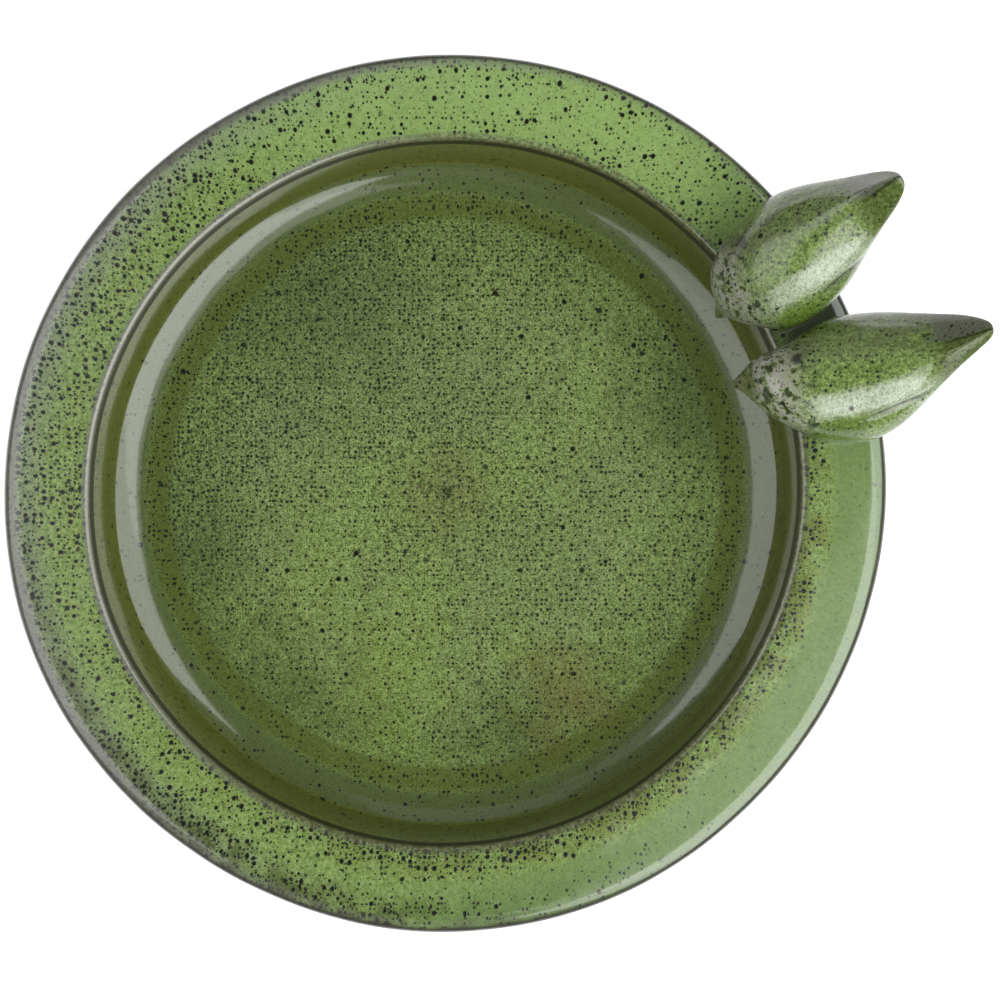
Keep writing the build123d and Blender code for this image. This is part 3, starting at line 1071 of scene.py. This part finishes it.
# %% The birds' body colours
def bird_colour(on, beak_end, crest):
    """The colour of a bird, without its specks; crest is how far right the ridge of its tail lies."""
    colour = on.fine.rises(0.3, 0.7).between(BIRD_DEEP, BIRD_PALE)
    colour = colour.mix(BIRD_GREY, on.right_side * (0.3 + on.wide.rises(0.4, 0.65) * 0.4))
    # Partly thin glaze, partly painted highlight: a pale band along the left shoulder, where the flank
    # mirrors a soft box.
    colour = colour.mix(SHOULDER_HIGHLIGHT_AND_THIN_GLAZE, on.shoulder * (0.55 + on.fine.rises(0.3, 0.7) * 0.4))
    # Partly gathered glaze, partly painted shade: deep green on the front of the left flank.
    flank = (on.across + on.sway * 5.0).falls(-18.0, -14.0) * on.along.falls(34.0, 44.0)
    colour = colour.mix(BIRD_GREEN_AND_SHADE, flank * 0.7)
    olive_darkening = (on.across + on.sway * 8.0).rises(9.0, 17.0) * on.middling.rises(0.35, 0.6)
    colour = colour.mix(OLIVE_DEEP, olive_darkening * 0.6)
    colour = colour.mix(SPECK_GREEN, on.dapple.falls(0.3, 0.48) * 0.5)
    # Partly glaze mottle, partly painted highlight: pale patches on the head.
    colour = colour.mix(HEAD_PALE_AND_HIGHLIGHT, on.head * on.blotches.rises(0.42, 0.54) * 0.9)
    colour = colour.mix(HEAD_DARK, on.head * on.blotches.falls(0.38, 0.46) * 0.85)
    colour = colour.mix(OLIVE, on.along.falls(beak_end, beak_end + 3.0) * 0.85)
    right_of_ridge = (on.across + on.sway).rises(crest - 0.3, crest + 0.5)
    colour = colour.mix(TAIL_GREY, on.tail * right_of_ridge * 0.9)
    colour = colour.mix(OLIVE_DEEP, on.tail * (1 - right_of_ridge) * 0.55)
    # Partly gathered glaze, partly painted shade: deep green low on the body near the rim.
    return colour.mix(BIRD_GREEN_AND_SHADE, on.low * 0.85)


# %% The birds' glaze
def make_bird_glaze(name, beak_end, crest, blot):
    """The glaze of one bird: where its beak ends, where its ridge lies, and where it has a dark blot."""
    material, place = start_material(name)
    on = BirdMasks(place)
    busy = (0.3 + on.middling.rises(0.36, 0.66) * 0.45 + on.head * 0.3 + on.right_side * 0.2).clamped()
    drops = on.head * 0.8 + on.right_side * 0.2 + on.middling.rises(0.5, 0.7) * 0.35
    dust, grain, drop = iron(place, 0.5 + busy * 0.5, busy, drops)
    clear = 1 - on.shoulder * 0.7
    colour = bird_colour(on, beak_end, crest)
    colour = colour.mix(SPECK_GREEN, dust * clear * 0.75).mix(SPECK, grain * clear * 0.9)
    colour = colour.mix(SPECK, drop * 0.95)
    level_place = place.node("ShaderNodeCombineXYZ", None, {0: on.along, 1: on.across})
    to_blot = level_place.distance(blot) + (on.blotches - 0.5) * 4.0
    colour = colour.mix(HEAD_DARK, to_blot.falls(1.2, 3.0) * 0.9)
    ridge = on.along.rises(68.0, 74.0) * (on.across + on.sway).band(crest - 0.9, crest, 0.35)
    colour = colour.mix(CREASE_DARK, on.groove * 0.7).mix(CREASE_DARK, ridge * 0.85)
    roughness = 0.22 + on.fine * 0.08
    relief = on.middling * 0.8 + on.blotches * 0.4 + on.fine * 0.2 - drop * 0.3 - grain * 0.2
    return finish_material(material, colour, roughness, relief, coat=0.6, relief=0.00022)


watching_glaze = make_bird_glaze("watching_bird_glaze", 6.0, 2.6, (22.0, 6.8, 0.0))
drinking_glaze = make_bird_glaze("drinking_bird_glaze", 7.0, 2.0, (27.0, 12.0, 0.0))
for glaze in (watching_glaze, drinking_glaze):
    print(glaze.name, "has", len(glaze.node_tree.nodes), "nodes")

# %% [markdown]
# The slip collars hold glaze like a gutter and sit in the shade under the birds, so they are the deepest
# green of all, partly painted shade, with a few dark drops.

# %% The collars' glaze
def make_collar_glaze():
    """The deep green glaze of both collars, darkened partly with painted shade."""
    material, place = start_material("slip_collar_glaze")
    middling = place.noise(6.0, detail=3.0)
    dust, grain, drop = iron(place, 0.6, 0.6, 0.4)
    # Partly gathered glaze, partly painted shade: the collars kept deep green under the birds.
    colour = middling.rises(0.3, 0.7).between(OLIVE, RIM_DEEP)
    colour = colour.mix(SPECK_GREEN, dust * 0.5).mix(SPECK, grain * 0.8).mix(SPECK, drop * 0.9)
    return finish_material(material, colour, 0.18 + middling * 0.05, middling - drop * 0.3)


collar_glaze = make_collar_glaze()
print(collar_glaze.name, "has", len(collar_glaze.node_tree.nodes), "nodes")

# %% [markdown]
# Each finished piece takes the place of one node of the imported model. The whole object is fired into
# one, so all of them ride on the one body, root.

# %% Dress the pieces and tie them to the frame
FINISHES = [
    (dish, "dish", "dish_glaze", dish_glaze),
    (watching, "watching_bird", "bird_glaze", watching_glaze),
    (drinking, "drinking_bird", "bird_glaze", drinking_glaze),
    (watching_slip, "watching_bird_lute", "lute_glaze", collar_glaze),
    (drinking_slip, "drinking_bird_lute", "lute_glaze", collar_glaze),
]
for piece, node, slot, material in FINISHES:
    piece.data.materials.append(material)
    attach(piece, "root")
    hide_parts(node)
print(len(FINISHES), "pieces dressed")

# %% [markdown]
# ## Floor, light and camera
#
# A glossy dish is shown by what it mirrors. Seen from above, a slope mirrors what stands at twice its
# tilt. So the soft boxes stand about 40 degrees from straight up, where only clay that tilts by 12 to
# 32 degrees mirrors them: they draw the bright crescents in the cove and leave the floor of the well
# clear. The cove's left side mirrors the box on the right, and its right side the one on the left. A
# weaker glow beside each lets its crescent fade out, and two faint fills lift the far and the near
# side. The floor glows a little, so that it stays white with hardly a shadow.

# %% The floor
def make_floor():
    """A wide, pale, dull floor that glows a little."""
    half = 3.0
    corners = [(-half, -half, 0), (half, -half, 0), (half, half, 0), (-half, half, 0)]
    floor = new_piece("pale_floor", corners, faces=[(0, 1, 2, 3)])
    material = bpy.data.materials.new("pale_floor")
    material.use_nodes = True
    surface = material.node_tree.nodes["Principled BSDF"]
    surface.inputs["Base Color"].default_value = (0.55, 0.55, 0.55, 1)
    surface.inputs["Roughness"].default_value = 0.9
    surface.inputs["Emission Color"].default_value = (1, 1, 1, 1)
    surface.inputs["Emission Strength"].default_value = 0.75
    floor.data.materials.append(material)
    floor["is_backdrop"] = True
    return floor


floor = make_floor()
print(f"floor {floor.dimensions.x:.0f} m across")

# %% Soft boxes
# name, azimuth from +X and tilt from straight up in degrees, distance, width and depth in metres, radiance
SOFT_BOXES = [
    ("right_soft_box", -18.0, 42.0, 1.2, 0.96, 2.0, 2.3),
    ("right_glow", -36.0, 38.0, 1.25, 1.15, 0.9, 1.0),
    ("left_soft_box", -175.0, 42.0, 1.2, 0.96, 1.3, 1.35),
    ("left_glow", 175.0, 38.0, 1.25, 1.2, 1.2, 0.3),
    ("back_fill", 95.0, 45.0, 1.4, 0.8, 0.7, 0.25),
    ("front_fill", -80.0, 42.0, 1.4, 0.6, 0.9, 0.15),
]


def soft_box(name, azimuth, tilt, distance, width, depth, radiance):
    """One soft box, facing the dish."""
    lamp = bpy.data.lights.new(name, "AREA")
    lamp.shape = "RECTANGLE"
    lamp.size = width
    lamp.size_y = depth
    lamp.energy = radiance * math.pi * width * depth
    box = bpy.data.objects.new(name, lamp)
    turn = math.radians(azimuth)
    lean = math.radians(tilt)
    box.location = (
        distance * math.sin(lean) * math.cos(turn),
        distance * math.sin(lean) * math.sin(turn),
        RIM_TOP * MM + distance * math.cos(lean),
    )
    box.rotation_euler = (0, lean, turn)
    box.visible_camera = False
    bpy.context.scene.collection.objects.link(box)


for box in SOFT_BOXES:
    soft_box(*box)
print(len(SOFT_BOXES), "soft boxes")

# %% [markdown]
# The room itself is nearly dark: a faint even light from everywhere, so that no slope mirrors pure
# black.

# %% The room
ROOM_LIGHT = 0.09
world = bpy.data.worlds.new("studio")
world.use_nodes = True
world.node_tree.nodes["Background"].inputs["Color"].default_value = (1, 1, 1, 1)
world.node_tree.nodes["Background"].inputs["Strength"].default_value = ROOM_LIGHT
bpy.context.scene.world = world
bpy.context.scene.view_settings.view_transform = "Standard"
print("room light", ROOM_LIGHT)

# %% [markdown]
# The camera hangs straight above, looking down. It is far away, with a long lens, so that the birds,
# which stand nearer to it than the rim, aren't swollen.

# %% The camera
CAMERA_HEIGHT = 1100.0  # above the rim
VIEW_WIDTH = 337.6  # seen across at the level of the rim
CAMERA_PLACE = (18.9, -2.6)
lens = bpy.data.cameras.new("overhead_camera")
lens.sensor_width = 36.0
lens.lens = lens.sensor_width * CAMERA_HEIGHT / VIEW_WIDTH
camera = bpy.data.objects.new("overhead_camera", lens)
camera.location = (CAMERA_PLACE[0] * MM, CAMERA_PLACE[1] * MM, (RIM_TOP + CAMERA_HEIGHT) * MM)
bpy.context.scene.collection.objects.link(camera)
bpy.context.scene.camera = camera
print(f"lens {lens.lens:.1f} mm")

# %% Sizes, for checking against the frame
visual_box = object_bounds()
for label, (low, high) in (("frame", cad_box), ("finished", visual_box)):
    print(label, [round((b - a) / MM, 1) for a, b in zip(low, high)], "mm")
